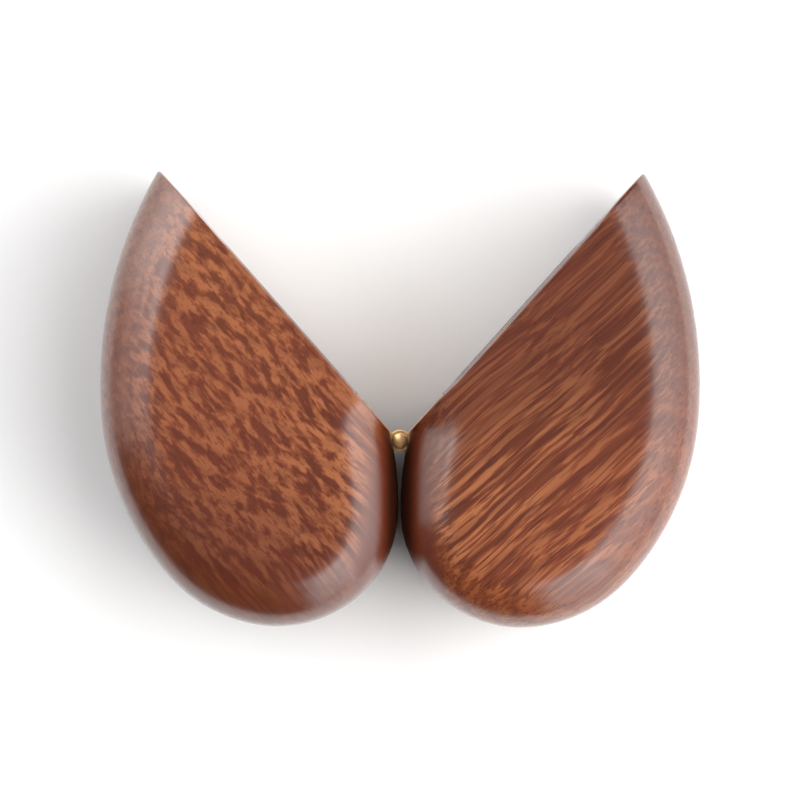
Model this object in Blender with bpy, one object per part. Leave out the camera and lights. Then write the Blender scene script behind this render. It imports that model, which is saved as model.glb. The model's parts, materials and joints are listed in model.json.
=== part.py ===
# A heart-shaped wooden ring box, split along the heart's centre line and hinged in its cleft. It lies on its
# back, open, with the heart's point toward -Y. The +X half holds the ring, the -X half is the lid.
import math

import bmesh
import bpy
from mathutils import Vector

# Driving dimensions, in metres and degrees. Each half is drawn in a frame of its own: t runs along the split
# from the hinge axis to the heart's point, n runs from the split face into the wood, z runs up.
OPEN_ANGLE = 83.4  # between the split faces, where the two lobes stop each other
THICKNESS = 0.034
EDGE_ROUND = 0.0085
FACE_SETBACK = 0.00015  # from the hinge axis to each split face
GAP = 0.0003  # between neighbouring pieces

# The outline is made of tangent arcs, as (radius, turn), from its widest point. The last arc of each row
# runs on to the split face.
WIDEST_T = 0.007
HALF_WIDTH = 0.035
FLANK_ARCS = ((0.0364, 37.3), (0.0570, None))
LOBE_ARCS = ((0.0203, 39.0), (0.0166, 51.0), (0.0153, 47.2), (0.0423, None))
ARC_STEP = 6.0
ROUND_STEPS = 6

HINGE_LENGTH = 0.018
KNUCKLES = 5
KNUCKLE_RADIUS = 0.00145
PIN_RADIUS = 0.0006
PIN_HEAD_RADIUS = 0.00105
PIN_HEAD_HEIGHT = 0.0004
LEAF_REACH = 0.0086
LEAF_THICKNESS = 0.0008
LEAF_END_INSET = 0.0002  # from the end of the barrel to the plate's end

SCREW_T = 0.0054
SCREW_SPACING = 0.010
SCREW_LENGTH = 0.0072
SCREW_HEAD_RADIUS = 0.0015
SCREW_RADIUS = 0.0007
SCREW_SLOT = 0.00035

MAGNET_T = 0.0414
MAGNET_SPACING = 0.012
MAGNET_RADIUS = 0.0025
MAGNET_THICKNESS = 0.002

RECESS_T = 0.0237
RECESS_LENGTH = 0.025
RECESS_WIDTH = 0.022
RECESS_CORNER = 0.004
RING_RECESS_DEPTH = 0.0157
LID_RECESS_DEPTH = 0.0176
LINER_WALL = 0.0008
LINER_DROP = 0.0002  # from the split face down to the liner's rim
CUSHION_BASE_HEIGHT = 0.0024
LID_PAD_HEIGHT = 0.0008
SLOT_WIDTH = 0.0045
ROLL_TOP_ROUND = 0.0028

RING_SIDE = 1
LID_SIDE = -1
MIDDLE = THICKNESS / 2
HINGE_BOTTOM = MIDDLE - HINGE_LENGTH / 2
KNUCKLE_LENGTH = (HINGE_LENGTH - (KNUCKLES - 1) * GAP) / KNUCKLES
LINER_INSET = GAP + LINER_WALL


def direction(angle):
    return Vector((math.cos(math.radians(angle)), math.sin(math.radians(angle))))


# The angle at which an arc reaches the split face, on the heart's point side or on the cleft side.
def face_angle(centre, radius, way):
    angle = math.degrees(math.asin(-centre.y / radius))
    return angle if way < 0 else 180 - angle


# Tangent arcs from the widest point, each as (centre, radius, first angle, last angle).
def arc_run(arcs, way):
    angle = 90.0
    centre = Vector((WIDEST_T, HALF_WIDTH - arcs[0][0]))
    before = arcs[0][0]
    run = []
    for radius, turn in arcs:
        centre = centre + (before - radius) * direction(angle)
        last = angle + way * turn if turn else face_angle(centre, radius, way)
        run.append((centre, radius, angle, last))
        angle = last
        before = radius
    return run


def arc_points(centre, radius, first, last, steps):
    return [centre + radius * direction(first + (last - first) * step / steps) for step in range(steps + 1)]


# The half heart's outline in t and n, moved inward by inset, from the cleft round the lobe to the point.
# Where the two halves meet in the cleft, the inset outline turns about the cleft's bottom.
def outline(inset):
    lobe = arc_run(LOBE_ARCS, 1)
    flank = arc_run(FLANK_ARCS, -1)
    centre, radius, first, last = lobe[-1]
    cleft = centre + radius * direction(last)
    points = arc_points(cleft, inset, 0, last - 180, math.ceil((last - 180) / (2 * ARC_STEP)))
    for centre, radius, first, last in reversed(lobe):
        points += arc_points(centre, radius - inset, last, first, math.ceil((last - first) / ARC_STEP))[1:]
    for index, (centre, radius, first, last) in enumerate(flank):
        steps = math.ceil((first - last) / ARC_STEP)
        if index == len(flank) - 1:
            last = face_angle(centre, radius - inset, -1)
        points += arc_points(centre, radius - inset, first, last, steps)[1:]
    return points


# Height and inset of each level of a shell: a quarter round, the straight side and a quarter round.
def round_levels():
    levels = []
    for step in range(ROUND_STEPS + 1):
        turn = math.pi / 2 * step / ROUND_STEPS
        levels.append((EDGE_ROUND * (1 - math.cos(turn)), EDGE_ROUND * (1 - math.sin(turn))))
    return levels + [(THICKNESS - height, inset) for height, inset in reversed(levels)]


def place(side, t, n, z):
    return Vector((t, side * (n + FACE_SETBACK), z))


def make_material(name, colour, roughness, metallic):
    material = bpy.data.materials.new(name)
    material.use_nodes = True
    shader = material.node_tree.nodes["Principled BSDF"]
    shader.inputs["Base Color"].default_value = (*colour, 1.0)
    shader.inputs["Roughness"].default_value = roughness
    shader.inputs["Metallic"].default_value = metallic
    return material


def make_half(name, side, hinge_y):
    empty = bpy.data.objects.new(name, None)
    bpy.context.collection.objects.link(empty)
    empty.location = (0, hinge_y, 0)
    empty.rotation_euler = (0, 0, math.radians(-90 + side * OPEN_ANGLE / 2))
    return empty


def finish(name, shape, half, material=None):
    bmesh.ops.remove_doubles(shape, verts=shape.verts, dist=1e-6)
    bmesh.ops.recalc_face_normals(shape, faces=shape.faces)
    mesh = bpy.data.meshes.new(name)
    shape.to_mesh(mesh)
    shape.free()
    made = bpy.data.objects.new(name, mesh)
    bpy.context.collection.objects.link(made)
    made.parent = half
    if material:
        mesh.materials.append(material)
        mesh.shade_smooth()
        mesh.set_sharp_from_angle(angle=math.radians(35))
    else:
        made.hide_render = True
        made.display_type = "WIRE"
    return made


def combine(target, other, operation):
    boolean = target.modifiers.new(f"{operation.lower()} {other.name}", "BOOLEAN")
    boolean.operation = operation
    boolean.object = other


def make_shell(name, side, half, material):
    shape = bmesh.new()
    rings = []
    for height, inset in round_levels():
        rings.append([shape.verts.new(place(side, t, n, height)) for t, n in outline(inset)])
    for lower, upper in zip(rings, rings[1:]):
        for index in range(len(lower)):
            before = index - 1
            shape.faces.new((lower[before], lower[index], upper[index], upper[before]))
    shape.faces.new(rings[0])
    shape.faces.new(rings[-1])
    return finish(name, shape, half, material)


# A block over the recess's rounded rectangle, smaller by inset all round, from one depth to another.
def recess_block(name, side, half, inset, near, far, material=None):
    corner = RECESS_CORNER - inset
    reach_t = RECESS_LENGTH / 2 - RECESS_CORNER
    reach_z = RECESS_WIDTH / 2 - RECESS_CORNER
    shape = bmesh.new()
    loop = []
    for quarter, (sign_t, sign_z) in enumerate(((1, 1), (-1, 1), (-1, -1), (1, -1))):
        centre = Vector((RECESS_T + sign_t * reach_t, MIDDLE + sign_z * reach_z))
        for t, z in arc_points(centre, corner, 90 * quarter, 90 * quarter + 90, 5):
            loop.append(shape.verts.new(place(side, t, near, z)))
    extrude(shape, loop, (0, side * (far - near), 0))
    return finish(name, shape, half, material)


def extrude(shape, loop, offset):
    face = shape.faces.new(loop)
    far_side = bmesh.ops.extrude_face_region(shape, geom=[face])["geom"]
    moved = [item for item in far_side if isinstance(item, bmesh.types.BMVert)]
    bmesh.ops.translate(shape, verts=moved, vec=offset)


# A turned piece: the profile's points are (radius, height) and both ends are on the axis.
def turned(name, profile, half, material=None, segments=24):
    shape = bmesh.new()
    line = [shape.verts.new((radius, 0, height)) for radius, height in profile]
    edges = [shape.edges.new(pair) for pair in zip(line, line[1:])]
    bmesh.ops.spin(
        shape, geom=line + edges, axis=(0, 0, 1), cent=(0, 0, 0), angle=math.tau, steps=segments, use_merge=True
    )
    return finish(name, shape, half, material)


def plain_cylinder(name, radius, low, high, half):
    return turned(name, ((0, low), (radius, low), (radius, high), (0, high)), half)


# Stands a piece turned about Z on the split face, with its axis running into the wood.
def set_into_face(made, side, t, z):
    made.location = place(side, t, 0, z)
    made.rotation_euler = (-side * math.pi / 2, 0, 0)


def knuckle_span(index):
    bottom = HINGE_BOTTOM + index * (KNUCKLE_LENGTH + GAP)
    return bottom, bottom + KNUCKLE_LENGTH


def flat_block(name, side, half, t_range, n_range, z_range, material=None):
    shape = bmesh.new()
    corners = ((0, 0), (1, 0), (1, 1), (0, 1))
    loop = [shape.verts.new(place(side, t_range[t], n_range[n], z_range[0])) for t, n in corners]
    extrude(shape, loop, (0, 0, z_range[1] - z_range[0]))
    return finish(name, shape, half, material)


def screw_heights():
    return {"back": MIDDLE - SCREW_SPACING / 2, "front": MIDDLE + SCREW_SPACING / 2}


def magnet_heights():
    return {"back": MIDDLE - MAGNET_SPACING / 2, "front": MIDDLE + MAGNET_SPACING / 2}


# A leaf is a plate flush with the split face, joined to every other knuckle and cleared for the rest.
def make_leaf(name, side, half, own_knuckles, material):
    hinge_top = HINGE_BOTTOM + HINGE_LENGTH
    span = (HINGE_BOTTOM + LEAF_END_INSET, hinge_top - LEAF_END_INSET)
    leaf = flat_block(name, side, half, (0, LEAF_REACH), (0, LEAF_THICKNESS), span, material)
    for index in range(KNUCKLES):
        low, high = knuckle_span(index)
        if index not in own_knuckles:
            radius = KNUCKLE_RADIUS + GAP
            notch = plain_cylinder(f"cut_{name}_notch_{index}", radius, low - GAP, high + GAP, half)
            combine(leaf, notch, "DIFFERENCE")
    for index in own_knuckles:
        low, high = knuckle_span(index)
        knuckle = plain_cylinder(f"add_{name}_knuckle_{index}", KNUCKLE_RADIUS, low, high, half)
        combine(leaf, knuckle, "UNION")
    bore = plain_cylinder(
        f"cut_{name}_bore", PIN_RADIUS + GAP, HINGE_BOTTOM - GAP, hinge_top + GAP, half
    )
    combine(leaf, bore, "DIFFERENCE")
    for place_name, height in screw_heights().items():
        reach = SCREW_RADIUS + GAP
        mouth = SCREW_HEAD_RADIUS + GAP
        profile = ((0, -GAP), (mouth + GAP, -GAP), (reach, LEAF_THICKNESS), (reach, 0.0015), (0, 0.0015))
        sink = turned(f"cut_{name}_sink_{place_name}", profile, half)
        set_into_face(sink, side, SCREW_T, height)
        combine(leaf, sink, "DIFFERENCE")
    return leaf


def make_screw(name, side, half, height, material):
    point = SCREW_LENGTH - 2 * SCREW_RADIUS
    profile = (
        (0, 0),
        (SCREW_HEAD_RADIUS, 0),
        (SCREW_RADIUS, LEAF_THICKNESS),
        (SCREW_RADIUS, point),
        (0, SCREW_LENGTH),
    )
    screw = turned(name, profile, half, material, 20)
    set_into_face(screw, side, SCREW_T, height)
    reach = SCREW_HEAD_RADIUS + GAP
    slot = flat_block(
        f"cut_{name}_slot",
        side,
        half,
        (SCREW_T - reach, SCREW_T + reach),
        (-SCREW_SLOT, SCREW_SLOT),
        (height - SCREW_SLOT / 2, height + SCREW_SLOT / 2),
    )
    combine(screw, slot, "DIFFERENCE")


def make_magnet(name, side, half, height, material):
    profile = ((0, 0), (MAGNET_RADIUS, 0), (MAGNET_RADIUS, MAGNET_THICKNESS), (0, MAGNET_THICKNESS))
    magnet = turned(name, profile, half, material)
    set_into_face(magnet, side, MAGNET_T, height)


def cut_shell(shell, side, half, recess_depth):
    recess = recess_block(f"cut_{shell.name}_recess", side, half, 0, -0.001, recess_depth)
    combine(shell, recess, "DIFFERENCE")
    low = HINGE_BOTTOM - GAP
    high = HINGE_BOTTOM + HINGE_LENGTH + GAP
    mortise_floor = LEAF_THICKNESS + GAP
    mortise = flat_block(
        f"cut_{shell.name}_mortise", side, half, (-0.004, LEAF_REACH + GAP), (-0.004, mortise_floor), (low, high)
    )
    combine(shell, mortise, "DIFFERENCE")
    groove = plain_cylinder(f"cut_{shell.name}_groove", KNUCKLE_RADIUS + 1.5 * GAP, low, high, half)
    combine(shell, groove, "DIFFERENCE")
    for place_name, height in screw_heights().items():
        reach = SCREW_RADIUS + GAP
        hole = plain_cylinder(f"cut_{shell.name}_hole_{place_name}", reach, 0, SCREW_LENGTH + GAP, half)
        set_into_face(hole, side, SCREW_T, height)
        combine(shell, hole, "DIFFERENCE")
    for place_name, height in magnet_heights().items():
        reach = MAGNET_RADIUS + GAP
        pocket = plain_cylinder(
            f"cut_{shell.name}_pocket_{place_name}", reach, -0.001, MAGNET_THICKNESS + GAP, half
        )
        set_into_face(pocket, side, MAGNET_T, height)
        combine(shell, pocket, "DIFFERENCE")


def make_liner(name, side, half, recess_depth, material):
    liner = recess_block(name, side, half, GAP, LINER_DROP, recess_depth - GAP, material)
    floor = recess_depth - LINER_INSET
    hollow = recess_block(f"cut_{name}_hollow", side, half, LINER_INSET, -0.001, floor)
    combine(liner, hollow, "DIFFERENCE")


# A roll fills the liner from the slot to the wall, with its top edges rounded along the slot. The liner's
# corners round its outer ends.
def make_roll(name, way, half, material):
    bottom = RING_RECESS_DEPTH - LINER_INSET - 2 * GAP - CUSHION_BASE_HEIGHT
    near = SLOT_WIDTH / 2
    far = RECESS_WIDTH / 2 - LINER_INSET - GAP
    section = [Vector((near, bottom)), Vector((far, bottom))]
    top = 2 * LINER_DROP + ROLL_TOP_ROUND
    section += arc_points(Vector((far - ROLL_TOP_ROUND, top)), ROLL_TOP_ROUND, 0, -90, 4)
    section += arc_points(Vector((near + ROLL_TOP_ROUND, top)), ROLL_TOP_ROUND, -90, -180, 4)
    shape = bmesh.new()
    start = RECESS_T - RECESS_LENGTH / 2
    loop = [shape.verts.new(place(RING_SIDE, start, n, MIDDLE + way * z)) for z, n in section]
    extrude(shape, loop, (RECESS_LENGTH, 0, 0))
    roll = finish(name, shape, half, material)
    fit = recess_block(f"fit_{name}", RING_SIDE, half, LINER_INSET + GAP, -0.001, RING_RECESS_DEPTH)
    combine(roll, fit, "INTERSECT")


def make_pin(half, material):
    low = HINGE_BOTTOM - GAP
    high = HINGE_BOTTOM + HINGE_LENGTH + GAP
    profile = (
        (0, low - PIN_HEAD_HEIGHT),
        (PIN_HEAD_RADIUS, low - PIN_HEAD_HEIGHT),
        (PIN_HEAD_RADIUS, low),
        (PIN_RADIUS, low),
        (PIN_RADIUS, high),
        (PIN_HEAD_RADIUS, high),
        (PIN_HEAD_RADIUS, high + PIN_HEAD_HEIGHT),
        (0, high + PIN_HEAD_HEIGHT),
    )
    turned("hinge_pin", profile, half, material)


# The box is centred front to back, so the hinge axis lies off the origin.
def hinge_place():
    back = direction(180 - OPEN_ANGLE / 2)
    reaches = [back.dot((t, n + FACE_SETBACK)) for t, n in outline(0)]
    return -(max(reaches) + min(reaches)) / 2


def main():
    for existing in list(bpy.data.objects):
        bpy.data.objects.remove(existing)
    wood = make_material("oiled_wood", (0.27, 0.10, 0.05), 0.38, 0.0)
    brass = make_material("brass", (0.80, 0.58, 0.28), 0.28, 1.0)
    plating = make_material("nickel_plating", (0.72, 0.71, 0.69), 0.22, 1.0)
    card = make_material("lining_card", (0.60, 0.56, 0.50), 0.9, 0.0)
    velvet = make_material("velvet", (0.62, 0.58, 0.52), 0.95, 0.0)
    hinge_y = hinge_place()
    halves = (
        ("ring", RING_SIDE, RING_RECESS_DEPTH, range(0, KNUCKLES, 2)),
        ("lid", LID_SIDE, LID_RECESS_DEPTH, range(1, KNUCKLES, 2)),
    )
    for name, side, depth, own_knuckles in halves:
        half = make_half(f"{name}_half", side, hinge_y)
        shell = make_shell(f"{name}_shell", side, half, wood)
        cut_shell(shell, side, half, depth)
        make_leaf(f"{name}_hinge_leaf", side, half, own_knuckles, brass)
        for place_name, height in screw_heights().items():
            make_screw(f"{name}_hinge_screw_{place_name}", side, half, height, brass)
        for place_name, height in magnet_heights().items():
            make_magnet(f"{name}_magnet_{place_name}", side, half, height, plating)
        make_liner(f"{name}_liner", side, half, depth, card)
        floor = depth - LINER_INSET - GAP
        if side == RING_SIDE:
            make_pin(half, brass)
            top = floor - CUSHION_BASE_HEIGHT
            recess_block("cushion_base", side, half, LINER_INSET + GAP, top, floor, velvet)
            make_roll("cushion_roll_front", 1, half, velvet)
            make_roll("cushion_roll_back", -1, half, velvet)
        else:
            recess_block("lid_pad", side, half, LINER_INSET + GAP, floor - LID_PAD_HEIGHT, floor, velvet)


main()
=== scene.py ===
import json
import math

import bmesh
import bpy
from mathutils import Matrix, Vector


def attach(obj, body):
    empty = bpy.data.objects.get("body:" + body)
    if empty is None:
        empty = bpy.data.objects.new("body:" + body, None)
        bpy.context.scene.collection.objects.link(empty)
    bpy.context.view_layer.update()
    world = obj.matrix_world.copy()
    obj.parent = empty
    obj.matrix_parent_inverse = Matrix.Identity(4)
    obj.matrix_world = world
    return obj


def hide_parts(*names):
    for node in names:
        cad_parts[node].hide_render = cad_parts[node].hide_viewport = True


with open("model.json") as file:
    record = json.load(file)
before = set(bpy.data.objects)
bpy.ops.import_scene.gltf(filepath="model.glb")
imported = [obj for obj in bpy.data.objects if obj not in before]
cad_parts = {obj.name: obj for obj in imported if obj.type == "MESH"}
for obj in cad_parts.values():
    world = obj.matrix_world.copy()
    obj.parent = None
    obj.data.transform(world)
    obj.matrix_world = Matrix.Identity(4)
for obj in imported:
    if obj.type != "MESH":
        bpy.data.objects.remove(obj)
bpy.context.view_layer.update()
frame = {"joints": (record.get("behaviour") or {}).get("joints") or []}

# The box lies open on its back. Each half of the heart is drawn in a frame of its own: t runs along the
# split from the hinge axis to the heart's point, n runs from the split face into the wood, z runs up.
hinge = frame["joints"][0]
openAngle = hinge["range_deg"][1]
hingeX, hingeY, middle = hinge["pos_m"]
thickness = 2 * middle
faceSetback = 0.00015
gap = 0.0003
halves = {
    "ring": {"side": 1, "recessDepth": 0.0157},
    "lid": {"side": -1, "recessDepth": 0.0176},
}


def turnOf(side):
    return math.radians(-90 + side * openAngle / 2)


def halfMatrix(side):
    return Matrix.Translation((hingeX, hingeY, 0)) @ Matrix.Rotation(turnOf(side), 4, "Z")


def place(side, t, n, z):
    return Vector((t, side * (n + faceSetback), z))


def direction(angle):
    return Vector((math.cos(math.radians(angle)), math.sin(math.radians(angle))))


def arcPoints(centre, radius, first, last, steps):
    return [centre + radius * direction(first + (last - first) * step / steps) for step in range(steps + 1)]


def newObject(name, shape):
    mesh = bpy.data.meshes.new(name)
    shape.to_mesh(mesh)
    shape.free()
    made = bpy.data.objects.new(name, mesh)
    bpy.context.collection.objects.link(made)
    return made


# A mesh object from a shape drawn in a half's frame.
def toMesh(name, shape, side):
    bmesh.ops.remove_doubles(shape, verts=shape.verts, dist=1e-6)
    bmesh.ops.recalc_face_normals(shape, faces=shape.faces)
    made = newObject(name, shape)
    made.data.transform(halfMatrix(side))
    return made


def combine(target, other, operation):
    boolean = target.modifiers.new(other.name, "BOOLEAN")
    boolean.operation = operation
    boolean.solver = "MANIFOLD"
    boolean.object = other
    applyModifiers(target)
    bpy.data.objects.remove(other)


def applyModifiers(made):
    graph = bpy.context.evaluated_depsgraph_get()
    mesh = bpy.data.meshes.new_from_object(made.evaluated_get(graph))
    made.modifiers.clear()
    made.data = mesh


def finish(made, body, nodes, material, sharp=30):
    made.data.materials.clear()
    made.data.materials.append(material)
    made.data.shade_smooth()
    made.data.set_sharp_from_angle(angle=math.radians(sharp))
    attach(made, body)
    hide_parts(*nodes)


# A turned piece, from (radius, height) points, on the hinge axis or going into the wood at a spot (t, z).
def turned(name, profile, side, spot=None, segments=48):
    shape = bmesh.new()
    line = [shape.verts.new((radius, 0, height)) for radius, height in profile]
    edges = [shape.edges.new(pair) for pair in zip(line, line[1:])]
    axis = {"axis": (0, 0, 1), "cent": (0, 0, 0)}
    bmesh.ops.spin(shape, geom=line + edges, angle=math.tau, steps=segments, use_merge=True, **axis)
    if spot:
        bmesh.ops.rotate(shape, verts=shape.verts, matrix=Matrix.Rotation(-side * math.pi / 2, 3, "X"))
        bmesh.ops.translate(shape, verts=shape.verts, vec=place(side, spot[0], 0, spot[1]))
    return toMesh(name, shape, side)


def plainCylinder(radius, low, high):
    return ((0, low), (radius, low), (radius, high), (0, high))


# A closed body through a list of loops that all have the same number of points.
def loft(shape, loops):
    ends = [shape.faces.new([shape.verts.new(point) for point in loops[0]])]
    for loop in loops[1:]:
        made = bmesh.ops.extrude_face_region(shape, geom=[ends[-1]])["geom"]
        ends.append(next(item for item in made if isinstance(item, bmesh.types.BMFace)))
        for vert, point in zip(ends[-1].verts, loop):
            vert.co = point
    bmesh.ops.delete(shape, geom=ends[1:-1], context="FACES_ONLY")
    return [ends[0], ends[-1]]


def roundEdges(shape, edges, width, segments):
    settings = {"profile": 0.5, "affect": "EDGES", "material": -1}
    bmesh.ops.bevel(shape, geom=edges, offset=width, segments=segments, **settings)


def block(name, side, tRange, nRange, zRange, bevel=0.0):
    shape = bmesh.new()
    corners = ((0, 0), (1, 0), (1, 1), (0, 1))
    loft(shape, [[place(side, tRange[t], nRange[n], z) for t, n in corners] for z in zRange])
    if bevel:
        roundEdges(shape, shape.edges, bevel, 3)
    return toMesh(name, shape, side)


class Link:  # a socket that arithmetic can be written with
    def __init__(self, shader, socket):
        self.shader = shader
        self.socket = socket

    def math(self, operation, first, second):
        return self.shader.node("Math", {"operation": operation}, {0: first, 1: second})

    def __add__(self, other):
        return self.math("ADD", self, other)

    def __radd__(self, other):
        return self.math("ADD", other, self)

    def __sub__(self, other):
        return self.math("SUBTRACT", self, other)

    def __rsub__(self, other):
        return self.math("SUBTRACT", other, self)

    def __mul__(self, other):
        return self.math("MULTIPLY", self, other)

    def __rmul__(self, other):
        return self.math("MULTIPLY", other, self)


class Shader:
    def __init__(self, name):
        self.material = bpy.data.materials.new(name)
        self.material.use_nodes = True
        self.tree = self.material.node_tree
        self.surface = self.tree.nodes["Principled BSDF"]

    def feed(self, socket, value):
        if isinstance(value, Link):
            self.tree.links.new(value.socket, socket)
        else:
            socket.default_value = value

    def node(self, kind, settings, inputs, output=0):
        made = self.tree.nodes.new("ShaderNode" + kind)
        for key, value in settings.items():
            setattr(made, key, value)
        for key, value in inputs.items():
            self.feed(made.inputs[key], value)
        return Link(self, made.outputs[output])

    def mix(self, factor, first, second):
        return self.node("Mix", {"data_type": "RGBA"}, {0: factor, 6: first, 7: second}, 2)

    def noise(self, vector, scale, detail, roughness=0.5):
        inputs = {"Vector": vector, "Scale": scale, "Detail": detail, "Roughness": roughness}
        return self.node("TexNoise", {}, inputs)

    def part(self, vector, axis):
        return self.node("SeparateXYZ", {}, {0: vector}, axis)

    def absolute(self, value):
        return self.node("Math", {"operation": "ABSOLUTE"}, {0: value})

    def step(self, value, low, high):  # a soft step from 0 to 1
        settings = {"interpolation_type": "SMOOTHSTEP"}
        return self.node("MapRange", settings, {"Value": value, "From Min": low, "From Max": high})

    def stretched(self, vector, factors):
        return self.node("VectorMath", {"operation": "MULTIPLY"}, {0: vector, 1: factors})

    def moved(self, vector, offset):
        return self.node("VectorMath", {"operation": "ADD"}, {0: vector, 1: offset})

    def rotated(self, vector, axis, angle):
        settings = {"rotation_type": f"{axis}_AXIS"}
        return self.node("VectorRotate", settings, {"Vector": vector, "Angle": angle})

    def bump(self, height, distance):
        return self.node("Bump", {}, {"Height": height, "Distance": distance})

    def finish(self, **inputs):
        for key, value in inputs.items():
            self.feed(self.surface.inputs[key.replace("_", " ")], value)
        return self.material


def rgb(red, green, blue):
    return (red, green, blue, 1.0)


woodLook = {
    "pale": rgb(0.345, 0.116, 0.037),
    "middle": rgb(0.200, 0.050, 0.013),
    "rose": rgb(0.155, 0.031, 0.011),
    "dark": rgb(0.060, 0.0095, 0.003),
    # the next two colours are painted shade and painted shadow in the cleft between the halves
    "oiled": rgb(0.105, 0.020, 0.008),
    "stain": rgb(0.026, 0.0065, 0.003),
    "fleckStretch": 30,  # how much longer than wide a fleck is along the fibres
    "fleckCut": (0.49, 0.56),
    "gapCut": (0.49, 0.41),
    "roundedFigure": 0.4,  # what is left of the flecks on the rounded edge
    "flatReach": (0.86, 0.985),
    "calmReach": (-0.014, 0.006),
    "wanderScale": 55.0,
    "wander": 0.0022,
    "toneSize": 0.010,
    "toneStretch": 5,
    "toneCut": (0.38, 0.62),
    "roseLeast": 0.08,
    "roseMore": 0.4,
    "poreSize": 0.00015,
    "poreCut": (0.56, 0.66),
    "poreRoughness": 0.08,
    "poreDip": 0.6,
    "yearSpacing": 0.0018,
    "yearLean": 33.0,
    "yearStretch": (0.15, 1, 1),
    "yearWaver": 2.5,
    "yearCut": (0.45, 1.0),
    "waveUnit": 0.314,  # the wave texture's scale for bands a metre apart
    "oil": 0.9,
    "oilSpread": 0.15,  # the painted crease shade beside the cleft widens this much for each metre from the hinge
    "oilReach": (0.0042, 0.0020),
    "stainReach": (0.0027, 0.0009),
    "mattReach": (0.0036, 0.0016),
    "reliefCut": (0.37, 0.49),
    "relief": 0.000010,
    "roughness": 0.36,
    "specular": 0.1,
    "varnishRoughness": 0.22,
    "varnishIndex": 1.9,
}
# The fibres turn by drift in the flat face and leave it by lift, which sets how long each fleck looks. The
# gaps between flecks are as dark as shadow says, and calm weakens the flecks toward the heart's point. The
# wood darkens by shade between paleDepth and darkDepth, partly the wood's own darker tone and partly
# painted shade, and its year rings and pores have strengths.
grainLook = {
    "ring": {
        "drift": 0.0,
        "lift": 20.0,
        "fleckSize": 0.00095,
        "shadow": 0.9,
        "calm": 0.35,
        "yearStrength": 0.22,
        "poreStrength": 0.4,
        "shade": 0.58,
        "paleDepth": 0.004,
        "darkDepth": 0.029,
    },
    "lid": {
        "drift": 7.0,
        "lift": 3.0,
        "fleckSize": 0.00062,
        "shadow": 0.7,
        "calm": 0.0,
        "yearStrength": 0.35,
        "poreStrength": 0.65,
        "shade": 0.60,
        "paleDepth": 0.017,
        "darkDepth": -0.006,
    },
}


# Coordinates whose X runs along the wandering fibres.
def grainOf(shader, local, look):
    grain = shader.rotated(local, "Y", math.radians(look["lift"]))
    inputs = {"Vector": grain, "Scale": woodLook["wanderScale"], "Detail": 1.5}
    wander = shader.node("TexNoise", {}, inputs, "Color")
    return shader.moved(grain, shader.stretched(wander, (0.0, woodLook["wander"], woodLook["wander"])))


def yearRings(shader, grain, side):
    lean = math.radians(side * woodLook["yearLean"])
    layers = shader.rotated(shader.stretched(grain, woodLook["yearStretch"]), "X", lean)
    settings = {"wave_type": "BANDS", "bands_direction": "Z"}
    inputs = {
        "Vector": layers,
        "Scale": woodLook["waveUnit"] / woodLook["yearSpacing"],
        "Distortion": woodLook["yearWaver"],
        "Detail": 2.0,
        "Detail Scale": 0.5,
    }
    return shader.step(shader.node("TexWave", settings, inputs, "Fac"), *woodLook["yearCut"])


# How strongly the flecks show: less where the surface rounds away, and less toward the heart's point.
def figureOf(shader, depth, look):
    normal = shader.node("NewGeometry", {}, {}, "True Normal")
    flat = shader.step(shader.absolute(shader.part(normal, "Z")), *woodLook["flatReach"])
    rounded = woodLook["roundedFigure"]
    calm = look["calm"]
    lively = 1 - calm + calm * shader.step(depth, *woodLook["calmReach"])
    return (rounded + (1 - rounded) * flat) * lively


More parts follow.
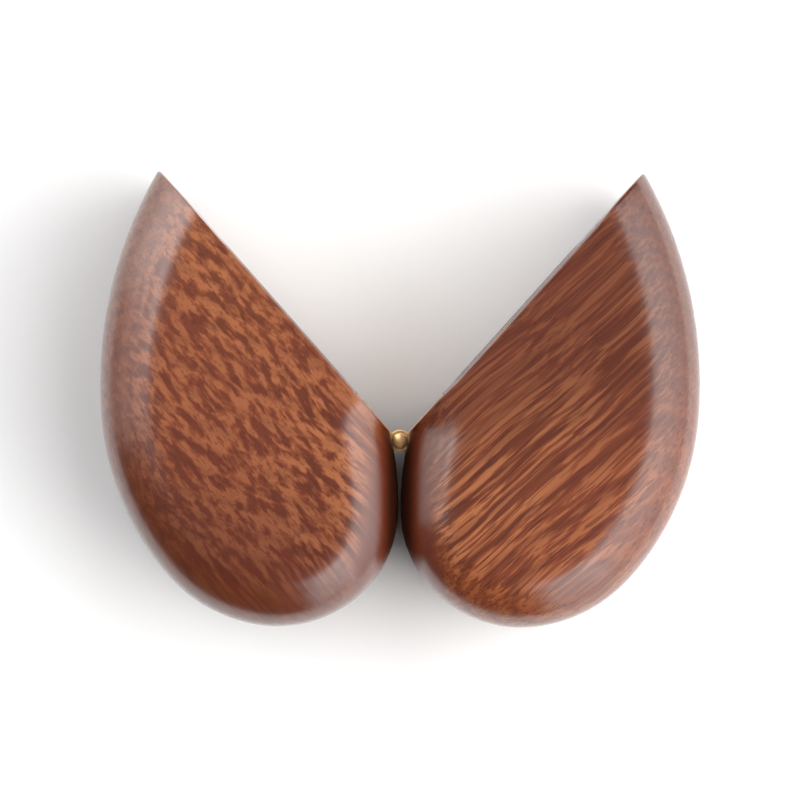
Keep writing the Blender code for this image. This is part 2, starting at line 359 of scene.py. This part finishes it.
def woodMaterial(half):
    side = halves[half]["side"]
    look = grainLook[half]
    shader = Shader(f"{half}_half_wood")
    spot = shader.moved(shader.node("TexCoord", {}, {}, "Object"), (-hingeX, -hingeY, -middle))
    fromMiddle = shader.absolute(shader.part(spot, "X"))
    fromCleft = fromMiddle - woodLook["oilSpread"] * shader.part(spot, "Y")
    local = shader.rotated(spot, "Z", -turnOf(side) - side * math.radians(look["drift"]))
    settings = {"operation": "DOT_PRODUCT"}  # a depth from the split face that leans along the board
    depth = shader.node("VectorMath", settings, {0: local, 1: (-0.5, side, 0.0)}, "Value")
    grain = grainOf(shader, local, look)
    fibres = shader.stretched(grain, (1 / woodLook["fleckStretch"], 1, 1))
    streak = shader.noise(fibres, 1 / look["fleckSize"], 3.0, 0.55)
    pores = shader.step(shader.noise(fibres, 0.5 / woodLook["poreSize"], 1.0), *woodLook["poreCut"])
    broad = shader.stretched(grain, (1 / woodLook["toneStretch"], 1, 1))
    tone = shader.step(shader.noise(broad, 0.5 / woodLook["toneSize"], 3.0, 0.6), *woodLook["toneCut"])
    figure = figureOf(shader, depth, look)
    gaps = look["shadow"] * figure * shader.step(streak, *woodLook["gapCut"])
    flecks = figure * shader.step(streak, *woodLook["fleckCut"])
    rose = woodLook["roseLeast"] + tone * woodLook["roseMore"]
    # painted shade: the wood turns darker and redder toward the cleft between the halves, where shade falls
    oiled = woodLook["oil"] * shader.step(fromCleft, *woodLook["oilReach"])
    # partly the wood's own darker tone and partly painted shade, by depth in the half's frame
    shade = look["shade"] * shader.step(depth, look["paleDepth"], look["darkDepth"])
    colour = shader.mix(gaps, woodLook["middle"], woodLook["dark"])
    colour = shader.mix(flecks, colour, woodLook["pale"])
    colour = shader.mix(rose, colour, woodLook["rose"])
    colour = shader.mix(yearRings(shader, grain, side) * look["yearStrength"], colour, woodLook["dark"])
    colour = shader.mix(shade, colour, woodLook["dark"])
    colour = shader.mix(pores * look["poreStrength"], colour, woodLook["dark"])
    # mix in the painted crease shade beside the cleft
    colour = shader.mix(oiled, colour, woodLook["oiled"])
    # painted shadow: near-black colour right at the cleft, where the narrow gap lies in shade
    colour = shader.mix(shader.step(fromMiddle, *woodLook["stainReach"]), colour, woodLook["stain"])
    height = shader.step(streak, *woodLook["reliefCut"]) - woodLook["poreDip"] * pores
    return shader.finish(
        Base_Color=colour,
        Roughness=woodLook["roughness"] + woodLook["poreRoughness"] * pores,
        Normal=shader.bump(height, woodLook["relief"]),
        Specular_IOR_Level=woodLook["specular"],
        Coat_Weight=1 - shader.step(fromMiddle, *woodLook["mattReach"]),
        Coat_Roughness=woodLook["varnishRoughness"],
        Coat_IOR=woodLook["varnishIndex"],
    )


metalLook = {
    "metallic": 0.8,
    "cloudScale": 420.0,
    "cloudRoughness": 0.14,
    "tarnishScale": 900.0,
    "tarnishCut": (0.52, 0.75),
    "tarnish": 0.55,
    "tarnishShade": 0.62,
    "brushScale": 9000.0,
    "brushStretch": (1, 1, 0.04),
    "relief": 0.000006,
}


def darkened(colour, shade):
    return tuple(shade * part for part in colour[:3]) + (1.0,)


def metalMaterial(name, colour, roughness):
    shader = Shader(name)
    local = shader.node("TexCoord", {}, {}, "Object")
    cloud = shader.noise(local, metalLook["cloudScale"], 3.0, 0.6)
    spots = shader.noise(local, metalLook["tarnishScale"], 4.0, 0.65)
    tarnish = shader.step(spots, *metalLook["tarnishCut"])
    brushed = shader.noise(shader.stretched(local, metalLook["brushStretch"]), metalLook["brushScale"], 1.0)
    darker = darkened(colour, metalLook["tarnishShade"])
    return shader.finish(
        Base_Color=shader.mix(tarnish * metalLook["tarnish"], colour, darker),
        Metallic=metalLook["metallic"],
        Roughness=roughness + metalLook["cloudRoughness"] * cloud,
        Normal=shader.bump(brushed, metalLook["relief"]),
    )


velvetLook = {
    "pileScale": 9000.0,
    "pileShadow": 0.35,
    "brushedScale": 260.0,
    "brushedCut": (0.38, 0.64),
    "brushedShadow": 0.6,
    "shade": 0.66,
    "roughness": 0.94,
    "relief": 0.00007,
    "sheen": 0.55,
    "sheenRoughness": 0.4,
    "specular": 0.15,
}


def velvetMaterial(name, colour):
    shader = Shader(name)
    local = shader.node("TexCoord", {}, {}, "Object")
    pile = shader.noise(local, velvetLook["pileScale"], 2.0, 0.7)
    patches = shader.noise(local, velvetLook["brushedScale"], 3.0, 0.6)
    brushed = shader.step(patches, *velvetLook["brushedCut"])
    shadow = brushed * velvetLook["brushedShadow"] + velvetLook["pileShadow"] * pile
    return shader.finish(
        Base_Color=shader.mix(shadow, colour, darkened(colour, velvetLook["shade"])),
        Roughness=velvetLook["roughness"],
        Normal=shader.bump(pile, velvetLook["relief"]),
        Sheen_Weight=velvetLook["sheen"],
        Sheen_Roughness=velvetLook["sheenRoughness"],
        Specular_IOR_Level=velvetLook["specular"],
    )


shellLook = {
    "edgeRound": 0.0085,  # round the front and back of the heart
    "edgeDrop": 0.0063,
    "widestT": 0.007,
    "halfWidth": 0.035,
    "flank": ((0.0364, 37.3), (0.0570, None)),  # tangent arcs, (radius, turn), from the widest point
    "lobe": ((0.0203, 39.0), (0.0166, 51.0), (0.0153, 47.2), (0.0423, None)),
    "arcStep": 2.5,
    "roundSteps": 14,
    "splitEdge": 0.00035,  # the small round on the edges of the split face
    "cleftCornerSteps": 4,
    "cleftSteps": 16,
    "pointSteps": 5,
    "faceMargin": 0.00042,  # a narrow strip along both sides of the split face
    "capMargin": 0.0004,  # and round the flat front and back
}


# The angle at which an arc about centre meets a height.
def faceAngle(centre, radius, height, way):
    angle = math.degrees(math.asin((height - centre.y) / radius))
    return angle if way < 0 else 180 - angle


# The arcs as (centre, radius, first angle, last angle), each tangent to the one before.
def arcRun(arcs, way):
    angle = 90.0
    centre = Vector((shellLook["widestT"], shellLook["halfWidth"] - arcs[0][0]))
    before = arcs[0][0]
    run = []
    for radius, turn in arcs:
        centre = centre + (before - radius) * direction(angle)
        last = angle + way * turn if turn else faceAngle(centre, radius, 0, way)
        run.append((centre, radius, angle, last))
        angle = last
        before = radius
    return run


# The outline in t and n, moved inward by inset, with its split line at height face. It starts on the split
# line near the cleft, turns about the cleft's bottom, and runs round the lobe and the flank to the point.
def outline(inset, face):
    small = shellLook["splitEdge"]
    step = shellLook["arcStep"]
    cornerSteps = shellLook["cleftCornerSteps"]
    fanSteps = shellLook["cleftSteps"]
    lobe = arcRun(shellLook["lobe"], 1)
    flank = arcRun(shellLook["flank"], -1)
    centre, radius, first, cleftAngle = lobe[-1]
    cleft = centre + radius * direction(cleftAngle)
    fanEnd = cleftAngle - 180
    rise = face + small
    lean = math.degrees(math.asin(min(1, rise / (inset + small))))
    if lean < fanEnd:
        corner = Vector((cleft.x + math.sqrt((inset + small) ** 2 - rise**2), rise))
        points = arcPoints(corner, small, 270, 180 + lean, cornerSteps)
        points += arcPoints(cleft, inset, lean, fanEnd, fanSteps)[1:]
    else:
        reach = radius - inset - small
        corner = Vector((centre.x - math.sqrt(reach**2 - (centre.y - rise) ** 2), rise))
        lean = math.degrees(math.atan2(centre.y - corner.y, centre.x - corner.x))
        cleftAngle = 180 + lean
        points = arcPoints(corner, small, 270, cleftAngle, cornerSteps)
        points += [points[-1].copy() for _ in range(fanSteps)]
    for centre, radius, first, last in reversed(lobe):
        steps = math.ceil((last - first) / step)
        last = cleftAngle if steps and (centre, radius) == lobe[-1][:2] else last
        points += arcPoints(centre, radius - inset, last, first, steps)[1:]
    for centre, radius, first, last in flank[:-1]:
        points += arcPoints(centre, radius - inset, first, last, math.ceil((first - last) / step))[1:]
    centre, radius, first, last = flank[-1]
    reach = radius - inset - small
    corner = Vector((centre.x + math.sqrt(reach**2 - (rise - centre.y) ** 2), rise))
    pointAngle = math.degrees(math.atan2(corner.y - centre.y, corner.x - centre.x))
    points += arcPoints(centre, radius - inset, first, pointAngle, math.ceil((first - last) / step))[1:]
    points += arcPoints(corner, small, pointAngle, -90, shellLook["pointSteps"])[1:]
    margin = Vector((shellLook["faceMargin"], 0))
    return points + [points[-1] - margin, points[0] + margin]


# Heights from the back to the front, each with the outline's inset and the split line's retreat.
def shellLevels():
    edge = shellLook["edgeRound"]
    small = shellLook["splitEdge"]
    levels = []
    for step in range(shellLook["roundSteps"] + 1):
        turn = math.pi / 2 * step / shellLook["roundSteps"]
        height = shellLook["edgeDrop"] * (1 - math.cos(turn))
        inset = edge * (1 - math.sin(turn))
        face = small - math.sqrt(small**2 - max(0, small - height) ** 2)
        levels.append((height, inset, face))
    return levels + [(thickness - height, inset, face) for height, inset, face in reversed(levels)]


def makeShell(half):
    side = halves[half]["side"]
    shape = bmesh.new()
    loops = []
    for height, inset, face in shellLevels():
        loops.append([place(side, t, n, height) for t, n in outline(inset, face)])
    caps = loft(shape, loops)
    bmesh.ops.inset_individual(shape, faces=caps, thickness=shellLook["capMargin"], use_even_offset=True)
    return toMesh(f"{half}_shell_wood", shape, side)


recessLook = {
    "t": 0.0237,
    "length": 0.025,
    "width": 0.022,
    "corner": 0.004,
    "cornerSteps": 10,
    "mouthEdge": 0.00025,
}
linerLook = {"wall": 0.0008, "drop": 0.0002, "rimRound": 0.00022}
hingeLook = {
    "length": 0.018,
    "knuckles": 5,
    "knuckleRadius": 0.00145,
    "pinRadius": 0.0006,
    "pinHeadRadius": 0.00105,
    "pinHeadHeight": 0.0004,
    "leafReach": 0.0086,
    "leafThickness": 0.0008,
    "leafEndInset": 0.0002,
    "edge": 0.00008,
}
screwLook = {
    "t": 0.0054,
    "spacing": 0.010,
    "length": 0.0072,
    "headRadius": 0.0015,
    "headEdge": 0.000045,
    "radius": 0.0007,
    "slot": 0.00035,
    "pitch": 0.0005,
    "root": 0.72,  # of the radius, between the crests
}
magnetLook = {"t": 0.0414, "spacing": 0.012, "radius": 0.0025, "thickness": 0.002, "edge": 0.00018}
linerInset = gap + linerLook["wall"]
hingeLow = middle - hingeLook["length"] / 2
hingeHigh = middle + hingeLook["length"] / 2
knuckleLength = (hingeLook["length"] - (hingeLook["knuckles"] - 1) * gap) / hingeLook["knuckles"]
beyond = 0.001  # cutters start this far outside the wood
wellBeyond = 0.004


# A loop round the recess, moved inward by inset, at a depth below the split face.
def roundedRectangle(inset, near, side):
    corner = recessLook["corner"] - inset
    reachT = recessLook["length"] / 2 - recessLook["corner"]
    reachZ = recessLook["width"] / 2 - recessLook["corner"]
    points = []
    for quarter, (signT, signZ) in enumerate(((1, 1), (-1, 1), (-1, -1), (1, -1))):
        centre = Vector((recessLook["t"] + signT * reachT, middle + signZ * reachZ))
        start = 90 * quarter
        for t, z in arcPoints(centre, corner, start, start + 90, recessLook["cornerSteps"]):
            points.append(place(side, t, near, z))
    return points


def recessBlock(name, side, inset, near, far):
    shape = bmesh.new()
    loft(shape, [roundedRectangle(inset, depth, side) for depth in (near, far)])
    return toMesh(name, shape, side)


# The recess's cutter also takes the sharp edge off its mouth.
def recessCutter(side, depth):
    edge = recessLook["mouthEdge"]
    shape = bmesh.new()
    steps = ((-edge, -beyond), (-edge, 0.0), (0.0, edge), (0.0, depth))
    loft(shape, [roundedRectangle(inset, near, side) for inset, near in steps])
    return toMesh("recess", shape, side)


def screwHeights():
    return {"back": middle - screwLook["spacing"] / 2, "front": middle + screwLook["spacing"] / 2}


def magnetHeights():
    return {"back": middle - magnetLook["spacing"] / 2, "front": middle + magnetLook["spacing"] / 2}


def cutShell(shell, side, depth):
    combine(shell, recessCutter(side, depth), "DIFFERENCE")
    low = hingeLow - gap
    high = hingeHigh + gap
    reach = hingeLook["leafReach"] + gap
    floor = hingeLook["leafThickness"] + gap
    mortise = block("mortise", side, (-wellBeyond, reach), (-wellBeyond, floor), (low, high))
    combine(shell, mortise, "DIFFERENCE")
    groove = plainCylinder(hingeLook["knuckleRadius"] + 1.5 * gap, low, high)
    combine(shell, turned("groove", groove, side), "DIFFERENCE")
    for height in screwHeights().values():
        hole = plainCylinder(screwLook["radius"] + gap, 0, screwLook["length"] + gap)
        combine(shell, turned("hole", hole, side, (screwLook["t"], height), 24), "DIFFERENCE")
    radius = magnetLook["radius"] + gap
    bottom = magnetLook["thickness"] + gap
    edge = 0.5 * gap
    mouth = ((0, -gap), (radius + edge, -gap), (radius + edge, 0), (radius, edge))
    pocket = mouth + ((radius, bottom), (0, bottom))
    for height in magnetHeights().values():
        combine(shell, turned("pocket", pocket, side, (magnetLook["t"], height)), "DIFFERENCE")


def makeHalf(half, material):
    side = halves[half]["side"]
    shell = makeShell(half)
    cutShell(shell, side, halves[half]["recessDepth"])
    finish(shell, f"{half}_half", [f"{half}_shell"], material)


for half in halves:
    makeHalf(half, woodMaterial(half))
print("wooden halves made")

brass = metalMaterial("hinge_brass", rgb(1.0, 0.58, 0.26), 0.28)
screwBrass = metalMaterial("screw_brass", rgb(0.86, 0.58, 0.26), 0.26)
nickel = metalMaterial("nickel_plating", rgb(0.70, 0.69, 0.67), 0.18)


def knuckleSpan(index):
    low = hingeLow + index * (knuckleLength + gap)
    return low, low + knuckleLength


def makeLeaf(half, ownKnuckles):
    side = halves[half]["side"]
    edge = hingeLook["edge"]
    inset = hingeLook["leafEndInset"]
    zRange = (hingeLow + inset, hingeHigh - inset)
    plate = ((0, hingeLook["leafReach"]), (0, hingeLook["leafThickness"]), zRange)
    leaf = block(f"{half}_leaf_brass", side, *plate, edge)
    for index in range(hingeLook["knuckles"]):
        low, high = knuckleSpan(index)
        if index not in ownKnuckles:
            notch = plainCylinder(hingeLook["knuckleRadius"] + gap, low - gap, high + gap)
            combine(leaf, turned("notch", notch, side), "DIFFERENCE")
    radius = hingeLook["knuckleRadius"]
    for index in ownKnuckles:
        low, high = knuckleSpan(index)
        lower = ((0, low), (radius - edge, low), (radius, low + edge))
        upper = ((radius, high - edge), (radius - edge, high), (0, high))
        combine(leaf, turned("knuckle", lower + upper, side), "UNION")
    bore = plainCylinder(hingeLook["pinRadius"] + gap, hingeLow - gap, hingeHigh + gap)
    combine(leaf, turned("bore", bore, side, None, 32), "DIFFERENCE")
    mouth = screwLook["headRadius"] + 2 * gap
    reach = screwLook["radius"] + gap
    depth = hingeLook["leafThickness"]
    sink = ((0, -gap), (mouth, -gap), (reach, depth), (reach, 2 * depth), (0, 2 * depth))
    for height in screwHeights().values():
        combine(leaf, turned("sink", sink, side, (screwLook["t"], height)), "DIFFERENCE")
    finish(leaf, f"{half}_half", [f"{half}_hinge_leaf"], brass)


def makeScrew(half, name, height):
    side = halves[half]["side"]
    head = screwLook["headRadius"]
    radius = screwLook["radius"]
    sink = hingeLook["leafThickness"]
    edge = screwLook["headEdge"]
    profile = [(0, 0), (head - edge, 0), (head, edge), (radius, sink)]
    root = screwLook["root"] * radius
    pitch = screwLook["pitch"]
    depth = sink + 0.8 * pitch
    while depth < screwLook["length"] - 3 * radius:  # the thread's crests and roots
        profile += [(root, depth), (radius, depth + pitch / 2)]
        depth += pitch
    profile += [(root, depth), (0, screwLook["length"])]
    screw = turned(f"{name}_brass", profile, side, (screwLook["t"], height))
    wide = screwLook["slot"]
    reach = head + gap
    tRange = (screwLook["t"] - reach, screwLook["t"] + reach)
    slot = block("slot", side, tRange, (-wide, wide), (height - wide / 2, height + wide / 2))
    combine(screw, slot, "DIFFERENCE")
    finish(screw, f"{half}_half", [name], screwBrass)


def makeMagnet(half, name, height):
    radius = magnetLook["radius"]
    depth = magnetLook["thickness"]
    edge = magnetLook["edge"]
    profile = (
        (0, 0),
        (radius - edge, 0),
        (radius - 0.3 * edge, 0.3 * edge),
        (radius, edge),
        (radius, depth - edge),
        (radius - edge, depth),
        (0, depth),
    )
    magnet = turned(f"{name}_disc", profile, halves[half]["side"], (magnetLook["t"], height))
    finish(magnet, f"{half}_half", [name], nickel, 40)


def makePin():
    low = hingeLow - gap
    high = hingeHigh + gap
    head = hingeLook["pinHeadHeight"]
    wide = hingeLook["pinHeadRadius"]
    thin = hingeLook["pinRadius"]
    dome = [(wide * math.cos(turn), math.sin(turn)) for turn in (math.pi / 12 * step for step in range(7))]
    profile = [(radius, low - head * rise) for radius, rise in reversed(dome)]
    profile += [(thin, low), (thin, high)]
    profile += [(radius, high + head * rise) for radius, rise in dome]
    pin = turned("hinge_pin_brass", profile, halves["ring"]["side"])
    finish(pin, "ring_half", ["hinge_pin"], brass, 50)


makeLeaf("ring", range(0, hingeLook["knuckles"], 2))
makeLeaf("lid", range(1, hingeLook["knuckles"], 2))
makePin()
for half in halves:
    for end, height in screwHeights().items():
        makeScrew(half, f"{half}_hinge_screw_{end}", height)
    for end, height in magnetHeights().items():
        makeMagnet(half, f"{half}_magnet_{end}", height)
print("hinge, screws and magnets made")

liningVelvet = velvetMaterial("lining_velvet", rgb(0.68, 0.60, 0.48))
cushionVelvet = velvetMaterial("cushion_velvet", rgb(0.76, 0.68, 0.55))


def makeLiner(half):
    side = halves[half]["side"]
    depth = halves[half]["recessDepth"]
    liner = recessBlock(f"{half}_liner_velvet", side, gap, linerLook["drop"], depth - gap)
    combine(liner, recessBlock("hollow", side, linerInset, -beyond, depth - linerInset), "DIFFERENCE")
    bevel = liner.modifiers.new("soft rim", "BEVEL")
    bevel.width = linerLook["rimRound"]
    bevel.segments = 3
    bevel.limit_method = "ANGLE"
    bevel.angle_limit = math.radians(60)
    applyModifiers(liner)
    finish(liner, f"{half}_half", [f"{half}_liner"], liningVelvet, 60)


cushionLook = {
    "simScale": 20,  # cloth behaves at this many times the real size
    "voxel": 0.009,
    "frames": 20,
    "pressure": 7,
    "startInset": 0.0003,
    "edge": 0.0011,
    "baseHeight": 0.0024,
    "padHeight": 0.0008,
    "slotWidth": 0.0045,
    "rollTopRound": 0.0028,
    "rollTopSteps": 6,
    "rollBulge": 0.0016,  # how far a roll may swell into the slot
    "padInset": 0.0003,
}


def blowUp(cushion):
    cloth = cushion.modifiers.new("stuffing", "CLOTH")
    cloth.settings.use_pressure = True
    cloth.settings.uniform_pressure_force = cushionLook["pressure"]
    cloth.settings.effector_weights.gravity = 0
    cloth.collision_settings.use_collision = False
    for step in range(1, cushionLook["frames"] + 1):
        bpy.context.scene.frame_set(step)
    applyModifiers(cushion)
    bpy.context.scene.frame_set(1)


# Blows a body up as cloth, but lets no point move past the given limits in t, n and z.
def puffed(name, shape, side, limits, edge):
    sharp = [item for item in shape.edges if item.calc_face_angle() > math.radians(40)]
    roundEdges(shape, sharp, edge, 4)
    bmesh.ops.recalc_face_normals(shape, faces=shape.faces)
    centre = sum((vert.co for vert in shape.verts), Vector()) / len(shape.verts)
    bmesh.ops.translate(shape, verts=shape.verts, vec=-centre)
    bmesh.ops.scale(shape, verts=shape.verts, vec=Vector((1, 1, 1)) * cushionLook["simScale"])
    cushion = newObject(name, shape)
    remesh = cushion.modifiers.new("even skin", "REMESH")
    remesh.mode = "VOXEL"
    remesh.voxel_size = cushionLook["voxel"]
    applyModifiers(cushion)
    start = [vert.co.copy() for vert in cushion.data.vertices]
    blowUp(cushion)
    for vert, before in zip(cushion.data.vertices, start):
        for axis, (low, high) in enumerate(limits):
            moved = (vert.co[axis] - before[axis]) / cushionLook["simScale"]
            vert.co[axis] = before[axis] + cushionLook["simScale"] * min(max(moved, low), high)
    realSize = Matrix.Translation(centre) @ Matrix.Scale(1 / cushionLook["simScale"], 4)
    cushion.data.transform(halfMatrix(side) @ realSize)
    smooth = cushion.modifiers.new("smooth skin", "SUBSURF")
    smooth.levels = smooth.render_levels = 1
    applyModifiers(cushion)
    return cushion


def sidewise(side, low, high):
    return (low, high) if side > 0 else (-high, -low)


def makeRoll(end, way):
    inset = cushionLook["startInset"]
    bottom = halves["ring"]["recessDepth"] - linerInset - 2 * gap - cushionLook["baseHeight"] - inset
    near = cushionLook["slotWidth"] / 2 + inset
    far = recessLook["width"] / 2 - linerInset - gap - inset
    turn = cushionLook["rollTopRound"]
    top = 2 * linerLook["drop"] + inset + turn
    section = [Vector((near, bottom)), Vector((far, bottom))]
    steps = cushionLook["rollTopSteps"]
    section += arcPoints(Vector((far - turn, top)), turn, 0, -90, steps)
    section += arcPoints(Vector((near + turn, top)), turn, -90, -180, steps)
    reach = recessLook["length"] / 2 - linerInset - gap - inset
    shape = bmesh.new()
    ends = (recessLook["t"] - reach, recessLook["t"] + reach)
    loft(shape, [[place(1, t, n, middle + way * z) for z, n in section] for t in ends])
    bulge = cushionLook["rollBulge"]
    toSlot = (-bulge, inset) if way > 0 else (-inset, bulge)
    limits = ((-inset, inset), (-inset, inset), toSlot)
    name = f"cushion_roll_{end}"
    roll = puffed(f"{name}_velvet", shape, 1, limits, cushionLook["edge"])
    finish(roll, "ring_half", [name], cushionVelvet, 180)


# A pad that starts a little lower than its height and swells by no more than rise.
def makePad(name, half, height, rise):
    side = halves[half]["side"]
    inset = cushionLook["padInset"]
    floor = halves[half]["recessDepth"] - linerInset - gap
    shape = bmesh.new()
    levels = (floor - height + 0.6 * rise, floor - 0.1 * height)
    loft(shape, [roundedRectangle(linerInset + gap + inset, depth, side) for depth in levels])
    limits = ((-inset, inset), sidewise(side, -rise, 0.05 * height), (-inset, inset))
    pad = puffed(f"{name}_velvet", shape, side, limits, 0.3 * height)
    finish(pad, f"{half}_half", [name], cushionVelvet, 180)


for half in halves:
    makeLiner(half)
print("linings made")
makeRoll("front", 1)
makeRoll("back", -1)
makePad("cushion_base", "ring", cushionLook["baseHeight"], 0.0003)
makePad("lid_pad", "lid", cushionLook["padHeight"], 0.00025)
print("cushions made")

stageLook = {
    "metresAcross": 0.1075,
    "cameraHeight": 0.75,
    "cameraShift": -0.0055,
    "sensorWidth": 36.0,
    "roll": 0.3,
    "veilDistance": 0.60,
    "veilFade": 0.55,  # how much of a veil's light is gone at the horizon
    "power": 4,  # watts for each square metre of a light of brightness 1
    "neutral": (1.0, 1.0, 1.0),
    "cool": (0.95, 0.98, 1.0),
    "warm": (1.0, 0.98, 0.95),
    "worldStrength": 0.06,
    "floorReach": 2.5,
    "floorWhite": 0.86,
    "floorRoughness": 0.9,
}


def makeCamera():
    data = bpy.data.cameras.new("camera")
    camera = bpy.data.objects.new("camera", data)
    bpy.context.collection.objects.link(camera)
    rim = thickness - shellLook["edgeRound"]
    distance = stageLook["cameraHeight"] - rim
    data.sensor_width = stageLook["sensorWidth"]
    data.lens = data.sensor_width * distance / stageLook["metresAcross"]
    data.clip_start = 0.01
    camera.location = (0, hingeY + stageLook["cameraShift"], stageLook["cameraHeight"])
    camera.rotation_euler = (0, 0, math.radians(180 + stageLook["roll"]))
    bpy.context.scene.camera = camera


def makeFloor():
    shape = bmesh.new()
    bmesh.ops.create_grid(shape, x_segments=1, y_segments=1, size=stageLook["floorReach"])
    floor = newObject("floor", shape)
    shader = Shader("floor_paper")
    white = stageLook["floorWhite"]
    paper = shader.finish(Base_Color=rgb(white, white, white), Roughness=stageLook["floorRoughness"])
    floor.data.materials.append(paper)


# A soft box of the given size, hung at a lean from straight up and turned about Z from +X.
def makeLight(name, turn, lean, distance, size, brightness, colour, diffuse=True, glossy=True):
    data = bpy.data.lights.new(name, "AREA")
    data.shape = "RECTANGLE"
    data.size, data.size_y = size
    data.energy = stageLook["power"] * size[0] * size[1] * brightness
    data.color = colour
    light = bpy.data.objects.new(name, data)
    bpy.context.collection.objects.link(light)
    flat = direction(turn) * math.sin(math.radians(lean))
    light.location = distance * Vector((flat.x, flat.y, math.cos(math.radians(lean))))
    light.rotation_euler = (0, math.radians(lean), math.radians(turn))
    light.visible_camera = False
    light.visible_diffuse = diffuse
    light.visible_glossy = glossy


# A curved soft box of flat strips, seen only in reflections. Its reach is given as angles.
def makeVeil(name, turn, halfTurn, top, bottom, brightness, strips):
    half = (bottom - top) / strips / 2
    distance = stageLook["veilDistance"]
    for index in range(strips):
        lean = top + (2 * index + 1) * half
        across = 2 * distance * math.sin(math.radians(lean)) * math.tan(math.radians(halfTurn))
        size = (2 * distance * math.tan(math.radians(half)), across)
        glow = brightness * (1 - stageLook["veilFade"] * max(0, lean - 45) / 45)
        makeLight(f"{name}_{index}", turn, lean, distance, size, glow, stageLook["cool"], diffuse=False)


def makeWorld():
    world = bpy.data.worlds.new("studio")
    bpy.context.scene.world = world
    world.use_nodes = True
    background = world.node_tree.nodes["Background"]
    background.inputs["Color"].default_value = (1.0, 1.0, 1.0, 1.0)
    background.inputs["Strength"].default_value = stageLook["worldStrength"]


makeCamera()
makeFloor()
makeWorld()
neutral = stageLook["neutral"]
cool = stageLook["cool"]
warm = stageLook["warm"]
# Each light has its turn, lean, distance, size, brightness and colour.
makeLight("overhead_right", 188, 25, 0.80, (0.50, 1.0), 3.05, neutral, glossy=False)
makeLight("overhead_left", 0, 25, 0.80, (0.50, 1.0), 1.7, neutral, glossy=False)
makeLight("right_key", 172, 60, 0.60, (0.55, 0.80), 2.5, warm, glossy=False)
makeLight("left_fill", -48, 56, 0.60, (0.74, 0.95), 0.40, cool, glossy=False)
# Each veil has its turn, half its turn's reach, its highest and lowest lean, brightness and strips.
makeVeil("left_veil", -52, 38, 17, 94, 2.1, 5)
makeVeil("left_veil_edge", -1, 12, 24, 94, 0.75, 3)
makeVeil("right_veil", 173, 42, 24, 94, 1.35, 5)
makeVeil("low_right_veil", 120, 14, 30, 92, 1.6, 3)
bpy.context.scene.view_settings.view_transform = "Standard"
print("stage made")
